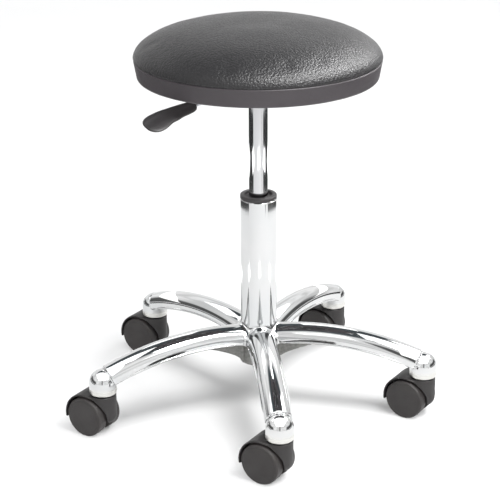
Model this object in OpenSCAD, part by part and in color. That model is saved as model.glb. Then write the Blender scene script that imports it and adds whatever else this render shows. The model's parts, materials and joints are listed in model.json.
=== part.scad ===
// Rolling stylist stool: round cushion on a gas lift, five-star cast base, twin-wheel casters.
// Millimetres, +Z up. The origin is on the column's axis, at the floor.
// The seat is drawn fully raised.

/* [Seat] */
// Diameter of the cushion at its seam
seat_d = 355.6; // [330:1:380]
// Height of the cushion's crown above the seam
crown_h = 49; // [40:1:60]
// Height of the plastic band under the seam
band_h = 27; // [24:1:32]
// Height of the seat's underside above the floor
underside_z = 516; // [510:1:530]
// Thickness of the vinyl cover
cover_t = 1.2; // [1:0.1:2]
// Thickness of the plywood board
board_t = 12; // [9:1:15]

/* [Gas lift] */
// Diameter of the chromed cylinder
tube_d = 28; // [26:0.5:28.5]
// Diameter of the piston rod
rod_d = 10; // [8:0.5:12]
// Travel of the seat
stroke = 125; // [100:1:127]
// Gap on the radius of every turning or sliding fit
run_gap = 0.05; // [0.02:0.01:0.1]

/* [Base] */
// Outer diameter of the column
column_d = 54; // [52:0.5:56]
// Height of the column's top edge above the floor
column_top_z = 332; // [325:1:335]
// Distance from the column's axis to each caster's stem
arm_reach = 251; // [240:1:260]
// Width of an arm
arm_w = 39.5; // [38:0.5:41]
// Height of the highest point of an arm above the floor
arm_peak_z = 137; // [135:1:139]
// Direction of the first arm, in degrees from +X
arm_turn = -83; // [-110:1:-60]

/* [Casters] */
// Diameter of a wheel
wheel_d = 60; // [56:1:60]
// Overall width across a caster's two wheels
twin_w = 50; // [47:1:51]
// Distance from the stem's axis back to the axle
trail = 19; // [18:0.5:20]
// Direction in which the wheels trail, in degrees from +X
trail_turn = 148; // [0:1:359]

/* [Lever] */
// Direction of the lever, in degrees from +X
lever_turn = -135; // [-180:1:180]
// Distance from the column's axis to the lever's tip
lever_reach = 212; // [200:1:220]
// Width of the lever's paddle
paddle_w = 34; // [26:1:36]

/* [Hidden] */
$fn = 72;

metal = "#c9ccd1";
steel = "#8e9196";
black = "#2b2a2c";
grey_plastic = "#4b4648";
vinyl = "#3a383b";
wood = "#b48a5a";
foam = "#d8cf9a";
brass = "#a58a4a";

// Arms: each follows a circular arch in its own upright plane
arms = 5;
arch_r = 436;
arch_x = 87;
arch_z = arm_peak_z - arch_r;
arm_half = arm_w / 2;
arm_depth = 25;
arm_wall = 3.5;
lip_out = 1.1;
lip_h = 3.2;
arm_root = 27.4;
lip_from = 36;
lip_to = 234;
hollow_from = 46;
hollow_to = 222;
rib_t = 8;
rib_reach = 110;

// Hub and column
column_r = column_d / 2;
bore_r = 23;
hub_r = 28.5;
hub_z = 72;
flare_r = 35;
flare_z = 134;
flare_bend = 8;

// Nose at the end of each arm, with the socket of a caster's stem
nose_r = arm_half - 0.2;
collar_r = 19.2;
collar_z = 67;
nose_z = 86.6;
stem_r = 5.5;
stem_up = 22;
socket_up = 25;

// Guide bush in the column's top
ring_h = 6;
ring_well_r = 20.5;
ring_well_h = 4;
bush_len = 80;
ring_z = column_top_z + ring_h;

// Parts at the foot of the gas lift
plate_z = 78;
plate_t = 4;
clip_t = 1.6;
washer_t = 2;
ball_r = 2;
ball_count = 10;
ball_ring_r = 10;
washer_r = 14;
buffer_h = 12;
neck_r = rod_d / 2 - 1;
bearing_z = plate_z + plate_t;
shoulder_z = bearing_z + 2 * washer_t + 2 * ball_r;

// Gas cylinder
tube_r = tube_d / 2;
tube_wall = 1.6;
tube_bottom_z = shoulder_z + buffer_h + stroke + 31;
tube_top_z = 496.4;
guide_h = 20;
piston_z = tube_bottom_z + guide_h + 4;
piston_h = 14;

// Valve pin and lever
pin_r = 3;
pin_top_z = 500.4;
lever_rod_r = 3.5;
lever_z = 504.2;
pivot_x = 34;
lever_start = -6;
lever_bend = 62;
paddle_from = 112;
paddle_t = 7;
rod_end_z = 496;
paddle_tip_z = 485;
paddle_roll = 22;
pivot_r = 2;

// Mounting plate under the seat
plate_side = 140;
mount_t = 3;
paint_t = 0.02;
mount_z = underside_z - mount_t - paint_t;
bolt_half = 55;
bolt_r = 4;
housing_r = 22;
housing_z = 480;
ear_t = 3;
ear_gap = 11;
ear_reach = 42;

// Seat stack
seat_r = seat_d / 2;
seam_z = underside_z + band_h;
shell_t = 3;
shell_r = seat_r - 0.8;
shell_foot_r = seat_r - 5;
board_z = underside_z + shell_t;
board_r = seat_r - 11;
foam_z = board_z + board_t;
cover_r = seat_r;
crown_z = seam_z + crown_h;
screw_ring_r = 130;
screw_count = 6;

// Casters
wheel_r = wheel_d / 2;
hub_half = 5.5;
wheel_in = 6.2;
wheel_edge = 1.6;
twin_half = twin_w / 2;
hood_half = twin_half - 2;
hood_r = wheel_r + 5.5;
hood_inner_r = wheel_r + 1.8;
hood_post_r = 19;
post_top_z = 65;
post_foot_z = 20;
post_bend = 12;
hood_back_z = 23;
hood_flank = 14;
axle_r = 3;
flange_r = 9;

// A point on the arch that the tops of the arms follow, at a distance from the column's axis
function arch_top(x) = arch_z + sqrt(arch_r * arch_r - (x - arch_x) * (x - arch_x));

// Points of a circular arc
function arc(cx, cy, r, a0, a1, n = 8) =
    [for (i = [0:n]) let (a = a0 + (a1 - a0) * i / n) [cx + r * cos(a), cy + r * sin(a)]];

// Height of the cushion's surface at a share of its radius, from 0 in the middle to 1 at the edge
function crown(share) = pow(1 - pow(share, 2.6), 0.5);

// ---------------------------------------------------------------- helpers

module ring(r_in, r_out, z0, h) {
    translate([0, 0, z0])
        difference() {
            cylinder(r = r_out, h = h);
            translate([0, 0, -1]) cylinder(r = r_in, h = h + 2);
        }
}

module around_arms() {
    for (k = [0:arms - 1])
        rotate(arm_turn + 360 / arms * k) children();
}

module at_caster(k) {
    turn = arm_turn + 360 / arms * (k - 1);
    translate([arm_reach * cos(turn), arm_reach * sin(turn), 0]) rotate(trail_turn) children();
}

// Turns a profile (distance below the arch, sideways) along the arch between two distances out
module along_arch(x0, x1) {
    a0 = acos((x1 - arch_x) / arch_r);
    a1 = acos((x0 - arch_x) / arch_r);
    translate([arch_x, 0, arch_z])
        rotate([90, 0, 0])
            rotate(a0)
                rotate_extrude(angle = a1 - a0, $fn = 180) children();
}

module arm_outline(half, top, depth) {
    polygon(concat(
        [[arch_r - depth, -half]],
        arc(arch_r - top - half, 0, half, -90, 90, 10),
        [[arch_r - depth, half]]));
}

// The same outline with a bead along both lower edges
module lipped_outline() {
    inner = arch_r - arm_depth;
    polygon(concat(
        [[inner, -arm_half - lip_out], [inner + lip_h, -arm_half - lip_out],
         [inner + lip_h, -arm_half]],
        arc(arch_r - arm_half, 0, arm_half, -90, 90, 10),
        [[inner + lip_h, arm_half], [inner + lip_h, arm_half + lip_out],
         [inner, arm_half + lip_out]]));
}

// ---------------------------------------------------------------- base

module arm() {
    difference() {
        union() {
            along_arch(arm_root, lip_from) arm_outline(arm_half, 0, arm_depth);
            along_arch(lip_from, lip_to) lipped_outline();
            along_arch(lip_to, arm_reach - 1) arm_outline(arm_half, 0, arm_depth);
            translate([arm_reach, 0, nose_z]) sphere(r = nose_r);
            translate([arm_reach, 0, collar_z]) cylinder(r = collar_r, h = nose_z - collar_z);
        }
        along_arch(hollow_from, hollow_to)
            arm_outline(arm_half - arm_wall, arm_wall, arm_depth + 5);
    }
}

// Web under each arm, from the hub's foot out to the arm's underside
module arm_rib() {
    rise = arch_top(rib_reach) - arm_depth - hub_z;
    run = rib_reach - hub_r;
    rotate([90, 0, 0])
        linear_extrude(rib_t, center = true)
            polygon(concat(
                [[hub_r - 3, arch_top(hub_r) - 6], [hub_r - 3, hub_z + 1]],
                [for (i = [0:10]) let (t = i / 10)
                    [hub_r + run * t, hub_z + 1 + rise * pow(t, 0.6)]],
                [for (i = [5:-1:0]) let (x = hub_r + run * i / 5) [x, arch_top(x) - 1.7]]));
}

module base_casting() {
    color(metal)
        difference() {
            union() {
                rotate_extrude($fn = 96)
                    polygon(concat(
                        [[bore_r, hub_z], [hub_r, hub_z], [hub_r, flare_z - 34],
                         [flare_r, flare_z - 26], [flare_r, flare_z]],
                        arc(column_r + flare_bend, flare_z + flare_bend, flare_bend, 260, 180),
                        [[column_r, column_top_z], [bore_r, column_top_z]]));
                around_arms() arm();
                around_arms() arm_rib();
            }
            translate([0, 0, hub_z - 1]) cylinder(r = bore_r, h = column_top_z, $fn = 96);
            translate([0, 0, plate_z - clip_t - 0.1]) cylinder(r = bore_r + 1, h = clip_t + 0.2);
            around_arms()
                translate([arm_reach, 0, collar_z - 1])
                    cylinder(r = stem_r + run_gap, h = socket_up + 1);
        }
}

module guide_bush() {
    color(black)
        rotate_extrude($fn = 96)
            polygon([
                [tube_r + run_gap, column_top_z - bush_len],
                [bore_r, column_top_z - bush_len],
                [bore_r, column_top_z],
                [column_r, column_top_z],
                [column_r, ring_z - 1.5],
                [column_r - 1.5, ring_z],
                [ring_well_r, ring_z],
                [ring_well_r, ring_z - ring_well_h],
                [tube_r + run_gap, ring_z - ring_well_h]]);
}

module bottom_plate() {
    color(steel) ring(neck_r + run_gap, bore_r - 0.1, plate_z, plate_t);
}

module plate_ring() {
    color(steel)
        difference() {
            ring(bore_r - 3, bore_r + 0.9, plate_z - clip_t, clip_t);
            translate([bore_r - 4, -4, plate_z - 4]) cube([10, 8, 5]);
        }
}

// ---------------------------------------------------------------- gas lift

module thrust_washer(z) {
    color(steel) ring(neck_r + 0.1, washer_r, z, washer_t);
}

// Ten balls, standing free on the lower washer
module thrust_bearing() {
    color(metal)
        for (i = [0:ball_count - 1])
            rotate(360 / ball_count * i)
                translate([ball_ring_r, 0, bearing_z + washer_t + ball_r])
                    sphere(r = ball_r - 0.02, $fn = 24);
}

module rubber_buffer() {
    color(black) ring(rod_d / 2 + 0.1, washer_r - 2, shoulder_z + 0.1, buffer_h);
}

module piston_rod() {
    color(metal)
        rotate_extrude()
            polygon([
                [0, plate_z - 6], [neck_r - 0.6, plate_z - 6], [neck_r, plate_z - 5.4],
                [neck_r, plate_z - clip_t - 0.2], [neck_r - 1, plate_z - clip_t - 0.2],
                [neck_r - 1, plate_z], [neck_r, plate_z],
                [neck_r, shoulder_z], [rod_d / 2, shoulder_z],
                [rod_d / 2, piston_z], [neck_r, piston_z],
                [neck_r, piston_z + piston_h], [0, piston_z + piston_h]]);
}

module rod_clip() {
    color(steel)
        difference() {
            ring(neck_r - 0.9, neck_r + 4, plate_z - clip_t, clip_t - 0.1);
            translate([-neck_r + 1, 0, plate_z - 3]) cube([2 * neck_r - 2, 20, 3]);
        }
}

module piston_head() {
    color(black) ring(neck_r, tube_r - tube_wall - 0.1, piston_z, piston_h);
}

module rod_guide() {
    color(black)
        ring(rod_d / 2 + run_gap, tube_r - tube_wall, tube_bottom_z + 1.5, guide_h - 1.5);
}

module gas_cylinder() {
    inner_r = tube_r - tube_wall;
    color(metal)
        rotate_extrude($fn = 96)
            polygon([
                [inner_r - 4, tube_bottom_z], [tube_r - 1, tube_bottom_z],
                [tube_r, tube_bottom_z + 1], [tube_r, housing_z],
                [tube_r - 0.4, tube_top_z], [pin_r + run_gap, tube_top_z],
                [pin_r + run_gap, tube_top_z - 10], [inner_r, tube_top_z - 10],
                [inner_r, tube_bottom_z + 1.5], [inner_r - 4, tube_bottom_z + 1.5]]);
}

module valve_pin() {
    color(black)
        rotate_extrude()
            polygon([
                [0, tube_top_z - 16], [pin_r, tube_top_z - 16], [pin_r, pin_top_z - 1.6],
                [pin_r - 1.6, pin_top_z], [0, pin_top_z]]);
}

// ---------------------------------------------------------------- seat mechanism

module plate_corners() {
    for (sx = [-1, 1])
        for (sy = [-1, 1])
            translate([sx * bolt_half, sy * bolt_half, 0]) children();
}

// Steel plate with a welded housing that holds the cylinder, and two ears for the lever
module mount_plate() {
    color(steel)
        rotate(lever_turn)
            difference() {
                union() {
                    translate([-plate_side / 2, -plate_side / 2, mount_z])
                        cube([plate_side, plate_side, mount_t]);
                    translate([0, 0, housing_z]) cylinder(r = housing_r, h = mount_z - housing_z);
                    for (side = [-1, 1])
                        translate([0, side * (ear_gap + ear_t) / 2 - ear_t / 2, lever_z - 8])
                            cube([ear_reach, ear_t, mount_z - lever_z + 8]);
                }
                translate([0, 0, housing_z - 1])
                    cylinder(r = tube_r, h = tube_top_z - housing_z + 1, $fn = 96);
                translate([0, 0, tube_top_z - 1]) cylinder(r = tube_r - 1, h = 30);
                translate([0, -ear_gap / 2, lever_z - 8])
                    cube([ear_reach + 1, ear_gap, mount_z - lever_z + 8]);
                translate([pivot_x, 0, lever_z])
                    rotate([90, 0, 0]) cylinder(r = pivot_r, h = 40, center = true);
                translate([0, 0, mount_z - 1])
                    plate_corners() cylinder(r = bolt_r + 0.3, h = mount_t + 2);
            }
}

module plate_bolts() {
    color(steel)
        rotate(lever_turn)
            plate_corners() {
                translate([0, 0, mount_z - 4.5]) cylinder(r = 7, h = 4.5, $fn = 6);
                translate([0, 0, mount_z - 0.01]) cylinder(r = bolt_r - 0.2, h = mount_t + 14);
            }
}

module tee_nuts() {
    color(brass)
        rotate(lever_turn)
            plate_corners() {
                ring(bolt_r, bolt_r + 1.4, board_z + 1.5, board_t - 1.5);
                ring(bolt_r, 10, foam_z, 1.4);
            }
}

// The rod crosses over the valve pin, turns on its pivot and bends down to the paddle
module lever_rod() {
    drop = lever_z - rod_end_z;
    run = paddle_from + 18 - lever_bend;
    tilt = atan(drop / run);
    color(steel)
        rotate(lever_turn)
            difference() {
                union() {
                    translate([lever_start, 0, lever_z])
                        rotate([0, 90, 0]) cylinder(r = lever_rod_r, h = lever_bend - lever_start);
                    translate([lever_bend, 0, lever_z]) sphere(r = lever_rod_r + 0.5);
                    translate([lever_bend, 0, lever_z])
                        rotate([0, 90 + tilt, 0])
                            cylinder(r = lever_rod_r, h = sqrt(run * run + drop * drop));
                    translate([pivot_x, 0, lever_z])
                        rotate([90, 0, 0]) cylinder(r = 5.5, h = ear_gap - 0.6, center = true);
                }
                translate([pivot_x, 0, lever_z])
                    rotate([90, 0, 0])
                        cylinder(r = pivot_r + run_gap, h = ear_gap + 2, center = true);
            }
}

module lever_pivot_pin() {
    half = ear_gap / 2 + ear_t;
    color(metal)
        rotate(lever_turn)
            translate([pivot_x, 0, lever_z])
                rotate([90, 0, 0]) {
                    cylinder(r = pivot_r, h = 2 * half + 2, center = true);
                    for (side = [-1, 1])
                        translate([0, 0, side * (half + 0.9)])
                            cylinder(r = pivot_r + 1.5, h = 1.8, center = true);
                }
}

// Cross-section of the paddle at a share of its length: place, half width, half thickness, roll
module paddle_slice(share) {
    x = paddle_from + 5 + (lever_reach - paddle_from - 13) * share;
    z = rod_end_z + 2 + (paddle_tip_z - rod_end_z - 2) * share;
    half = paddle_w / 2 * (0.30 + 0.70 * sin(90 * min(1, share * 1.5)));
    thick = paddle_t / 2 * (1.4 - 0.7 * share);
    translate([x, 0, z])
        rotate([-paddle_roll * share, 0, 0])
            scale([1, half / thick, 1]) sphere(r = thick, $fn = 20);
}

module lever_paddle() {
    run = paddle_from + 18 - lever_bend;
    drop = lever_z - rod_end_z;
    color(black)
        rotate(lever_turn)
            difference() {
                union() {
                    hull() {
                        paddle_slice(0);
                        paddle_slice(0.35);
                    }
                    hull() {
                        paddle_slice(0.35);
                        paddle_slice(0.7);
                    }
                    hull() {
                        paddle_slice(0.7);
                        paddle_slice(1);
                    }
                }
                translate([lever_bend, 0, lever_z])
                    rotate([0, 90 + atan(drop / run), 0])
                        cylinder(r = lever_rod_r, h = sqrt(run * run + drop * drop));
            }
}

// ---------------------------------------------------------------- seat

module seat_shell() {
    color(grey_plastic)
        difference() {
            rotate_extrude($fn = 144)
                polygon(concat(
                    [[0, underside_z]],
                    arc(shell_foot_r - 4, underside_z + 4, 4, -90, -8, 5),
                    [[shell_r, seam_z - 1.5], [shell_r - 0.8, seam_z - 0.4],
                     [shell_r - shell_t, seam_z - 0.4], [shell_foot_r - shell_t, board_z],
                     [0, board_z]]));
            translate([0, 0, underside_z - 1]) cylinder(r = 16, h = shell_t + 2);
            rotate(lever_turn)
                translate([0, 0, underside_z - 1])
                    plate_corners() cylinder(r = bolt_r + 0.5, h = shell_t + 2);
            for (i = [0:screw_count - 1])
                rotate(360 / screw_count * i)
                    translate([screw_ring_r, 0, underside_z - 1]) cylinder(r = 2.2, h = shell_t + 2);
        }
}

module shell_screws() {
    color(steel)
        for (i = [0:screw_count - 1])
            rotate(360 / screw_count * i)
                translate([screw_ring_r, 0, 0]) {
                    translate([0, 0, underside_z - 2]) cylinder(r1 = 2.6, r2 = 4.4, h = 2);
                    translate([0, 0, underside_z - 0.01]) cylinder(r = 2, h = shell_t + 9);
                }
}

module seat_board() {
    color(wood)
        difference() {
            translate([0, 0, board_z]) cylinder(r = board_r, h = board_t, $fn = 144);
            translate([0, 0, board_z - 1]) cylinder(r = 16, h = board_t + 2);
            rotate(lever_turn)
                translate([0, 0, board_z - 1])
                    plate_corners() cylinder(r = bolt_r + 1.4, h = board_t + 2);
            for (i = [0:screw_count - 1])
                rotate(360 / screw_count * i)
                    translate([screw_ring_r, 0, board_z - 1]) cylinder(r = 2, h = 10);
        }
}

// Outline of the domed pad, from the middle of its top to its foot
function pad_outline(r, top, foot) = concat(
    [for (i = [0:14]) let (s = i / 14 * 0.985) [r * s, seam_z + (top - seam_z) * crown(s)]],
    [[r, seam_z + 1.2], [r - 1.5, seam_z + 0.1], [r - 5.5, seam_z - 0.4], [r - 9, foot]]);

module seat_foam() {
    color(foam)
        difference() {
            rotate_extrude($fn = 144)
                polygon(concat(
                    pad_outline(cover_r - cover_t, crown_z - cover_t, foam_z), [[0, foam_z]]));
            rotate(lever_turn)
                translate([0, 0, foam_z - 1]) plate_corners() cylinder(r = 10.2, h = 6);
        }
}

module seat_cover() {
    color(vinyl)
        rotate_extrude($fn = 144)
            polygon(concat(
                pad_outline(cover_r, crown_z, foam_z),
                [for (i = [len(pad_outline(1, 1, 1)) - 1:-1:0])
                    pad_outline(cover_r - cover_t, crown_z - cover_t, foam_z)[i]]));
}

// ---------------------------------------------------------------- casters

module grip_rings() {
    color(steel)
        for (k = [1:5])
            at_caster(k)
                difference() {
                    ring(stem_r - 0.9, stem_r + 0.04, collar_z + stem_up - 6, 2);
                    translate([0, -1, collar_z + stem_up - 7]) cube([10, 2, 4]);
                }
}

module stem() {
    color(steel)
        rotate_extrude()
            polygon([
                [0, 34], [4, 34], [4, post_top_z + 0.2], [flange_r, post_top_z + 0.2],
                [flange_r, collar_z], [stem_r, collar_z], [stem_r, collar_z + stem_up - 6],
                [stem_r - 1, collar_z + stem_up - 6], [stem_r - 1, collar_z + stem_up - 4],
                [stem_r, collar_z + stem_up - 4], [stem_r, collar_z + stem_up - 1],
                [stem_r - 1, collar_z + stem_up], [0, collar_z + stem_up]]);
}

// Cylinder across the caster, about the axle's line
module across(r, half, from = 0) {
    translate([trail, from, wheel_r])
        rotate([90, 0, 0]) cylinder(r = r, h = 2 * half, center = true);
}

module hood() {
    color(grey_plastic)
        difference() {
            union() {
                rotate_extrude()
                    polygon(concat(
                        [[0, post_top_z], [0, post_foot_z]],
                        arc(hood_post_r - post_bend, post_foot_z + post_bend, post_bend, -90, 0),
                        [[hood_post_r, post_top_z - 0.8], [hood_post_r - 0.8, post_top_z]]));
                intersection() {
                    across(hood_r, hood_half);
                    translate([0, 0, hood_back_z])
                        linear_extrude(60)
                            polygon([
                                [0, -hood_post_r + 0.3], [hood_flank, -hood_half], [80, -hood_half],
                                [80, hood_half], [hood_flank, hood_half], [0, hood_post_r - 0.3]]);
                }
                difference() {
                    across(16, hub_half);
                    translate([-40, -30, -10]) cube([110, 60, 20]);
                }
            }
            for (side = [-1, 1])
                translate([0, side * (hub_half + 15), 0]) across(hood_inner_r, 15);
            across(axle_r, 30);
            translate([0, 0, 33]) cylinder(r = 4 + run_gap, h = 40);
        }
}

module axle() {
    color(steel) across(axle_r, twin_half - 4);
}

// One wheel: a disc-faced cup with a hub and a rounded tread
module wheel(side) {
    outer = twin_half;
    color(grey_plastic)
        translate([trail, 0, wheel_r])
            rotate([side * -90, 0, 0])
                rotate_extrude($fn = 96)
                    polygon(concat(
                        [[0, outer - 3.5], [axle_r + run_gap, outer - 3.5],
                         [axle_r + run_gap, wheel_in], [9, wheel_in], [9, outer - 5],
                         [wheel_r - 6, outer - 5], [wheel_r - 6, wheel_in + 1],
                         [wheel_r - 1.5, wheel_in + 1], [wheel_r, wheel_in + 2.5]],
                        arc(wheel_r - wheel_edge, outer - wheel_edge - 0.4, wheel_edge, 0, 80, 4),
                        [[wheel_r * 0.55, outer - 0.1], [0, outer]]));
}

// ---------------------------------------------------------------- nodes

base_casting();
guide_bush();
bottom_plate();
plate_ring();
thrust_washer(bearing_z);  // thrust_washer_lower
thrust_bearing();
thrust_washer(shoulder_z - washer_t);  // thrust_washer_upper
rubber_buffer();
piston_rod();
rod_clip();
piston_head();
rod_guide();
gas_cylinder();
valve_pin();
mount_plate();
plate_bolts();
tee_nuts();
lever_rod();
lever_paddle();
lever_pivot_pin();
seat_shell();
shell_screws();
seat_board();
seat_foam();
seat_cover();
grip_rings();
for (k = [1:5]) {
    at_caster(k) stem();
    at_caster(k) hood();
    at_caster(k) axle();
    at_caster(k) wheel(1);
    at_caster(k) wheel(-1);
}
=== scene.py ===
import json
import math

import bpy
import numpy as np
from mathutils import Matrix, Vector


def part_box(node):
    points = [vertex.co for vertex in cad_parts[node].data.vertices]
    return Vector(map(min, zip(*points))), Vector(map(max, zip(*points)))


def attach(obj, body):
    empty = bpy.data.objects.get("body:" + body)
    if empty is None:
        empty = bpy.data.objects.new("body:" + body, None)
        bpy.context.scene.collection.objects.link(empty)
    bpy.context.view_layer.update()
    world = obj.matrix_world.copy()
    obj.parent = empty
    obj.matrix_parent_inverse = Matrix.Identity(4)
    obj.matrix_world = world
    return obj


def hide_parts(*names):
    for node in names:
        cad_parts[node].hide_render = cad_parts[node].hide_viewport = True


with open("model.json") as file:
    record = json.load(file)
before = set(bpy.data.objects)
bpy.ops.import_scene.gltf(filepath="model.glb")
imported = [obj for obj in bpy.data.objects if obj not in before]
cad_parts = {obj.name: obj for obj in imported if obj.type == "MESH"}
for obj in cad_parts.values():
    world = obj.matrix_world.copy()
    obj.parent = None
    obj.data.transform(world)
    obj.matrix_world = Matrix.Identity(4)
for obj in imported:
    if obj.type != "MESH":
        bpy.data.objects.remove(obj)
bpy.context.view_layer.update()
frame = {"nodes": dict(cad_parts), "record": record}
scene = bpy.context.scene
MM = 0.001
CASTERS = range(1, 6)


def box_mm(node):
    low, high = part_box(node)
    return np.array(low) / MM, np.array(high) / MM


# ---------------------------------------------------------------- places, from the frame

base_low, base_high = box_mm("base_casting")
_, bush_high = box_mm("guide_bush")
tube_low, tube_high = box_mm("gas_cylinder")
shell_low, shell_high = box_mm("seat_shell")
cover_low, cover_high = box_mm("seat_cover")


def centre_of(node):
    low, high = box_mm(node)
    return (low + high) / 2


STEMS = [centre_of(f"caster_{k}_stem") for k in CASTERS]
AXLES = [centre_of(f"caster_{k}_axle") for k in CASTERS]
ARM_REACH = float(np.hypot(*STEMS[0][:2]))
ARM_TURN = math.atan2(STEMS[0][1], STEMS[0][0])
TRAIL = float(np.hypot(*(AXLES[0] - STEMS[0])[:2]))
TRAIL_TURN = math.atan2((AXLES[0] - STEMS[0])[1], (AXLES[0] - STEMS[0])[0])
WHEEL_R = float(AXLES[0][2])
COLUMN_TOP = float(base_high[2])
COLLAR_Z = float(base_low[2])
RING_TOP = float(bush_high[2])
COLUMN_R = float(bush_high[0])
TUBE_R = float(tube_high[0])
SEAT_R = float(cover_high[0])
CROWN_Z = float(cover_high[2])
UNDERSIDE_Z = float(shell_low[2])
SHELL_R = float(shell_high[0])
SEAM_Z = UNDERSIDE_Z + 27.0
LEVER_TURN = math.radians(-135)

# ---------------------------------------------------------------- meshes


def object_from(name, points, faces, normals=None, sharp=None):
    """A shaded mesh object from points in millimetres."""
    mesh = bpy.data.meshes.new(name)
    mesh.from_pydata((np.asarray(points, float) * MM).tolist(), [], [list(map(int, f)) for f in faces])
    mesh.update()
    mesh.polygons.foreach_set("use_smooth", [True] * len(mesh.polygons))
    if sharp is not None:
        mesh.set_sharp_from_angle(angle=math.radians(sharp))
    if normals is not None:
        mesh.normals_split_custom_set_from_vertices(np.asarray(normals, float).tolist())
    obj = bpy.data.objects.new(name, mesh)
    scene.collection.objects.link(obj)
    return obj


def lathe(profile, segments=128, closed=True):
    """Points and faces of a profile of (radius, height) turned about Z. Points on the axis are shared."""
    profile = [(float(r), float(z)) for r, z in profile]
    points, rows = [], []
    for r, z in profile:
        if r < 1e-6:
            rows.append([len(points)] * segments)
            points.append((0.0, 0.0, z))
        else:
            start = len(points)
            for i in range(segments):
                a = 2 * math.pi * i / segments
                points.append((r * math.cos(a), r * math.sin(a), z))
            rows.append(list(range(start, start + segments)))
    faces = []
    pairs = list(zip(rows, rows[1:])) + ([(rows[-1], rows[0])] if closed else [])
    for low, high in pairs:
        for i in range(segments):
            j = (i + 1) % segments
            ring = [low[i], low[j], high[j], high[i]]
            face = [v for n, v in enumerate(ring) if v != ring[n - 1]]
            if len(face) >= 3 and len(set(face)) == len(face):
                faces.append(face)
    return np.array(points), faces


def rounded(profile, radii, steps=4):
    """The same closed profile with each corner rounded by its radius."""
    out = []
    n = len(profile)
    for i, radius in enumerate(radii):
        before, here, after = (np.array(profile[j % n], float) for j in (i - 1, i, i + 1))
        if radius <= 0:
            out.append(tuple(here))
            continue
        a, b = before - here, after - here
        la, lb = np.linalg.norm(a), np.linalg.norm(b)
        a, b = a / la, b / lb
        half = math.acos(max(-1, min(1, float(a @ b)))) / 2
        cut = min(radius / math.tan(half), la * 0.49, lb * 0.49)
        for s in range(steps + 1):
            t = s / steps
            p = here + a * cut * (1 - t) ** 2 + b * cut * t**2
            out.append((float(p[0]), float(p[1])))
    return out


def hypot(*parts):
    return np.sqrt(sum(p * p for p in parts))


def smin(a, b, k):
    """The lesser of two distances, with a blend k wide whose curvature is even."""
    h = np.maximum(k - np.abs(a - b), 0) / k
    return np.minimum(a, b) - h * h * h * k / 6


def smax(a, b, k):
    return -smin(-a, -b, k)


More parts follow.
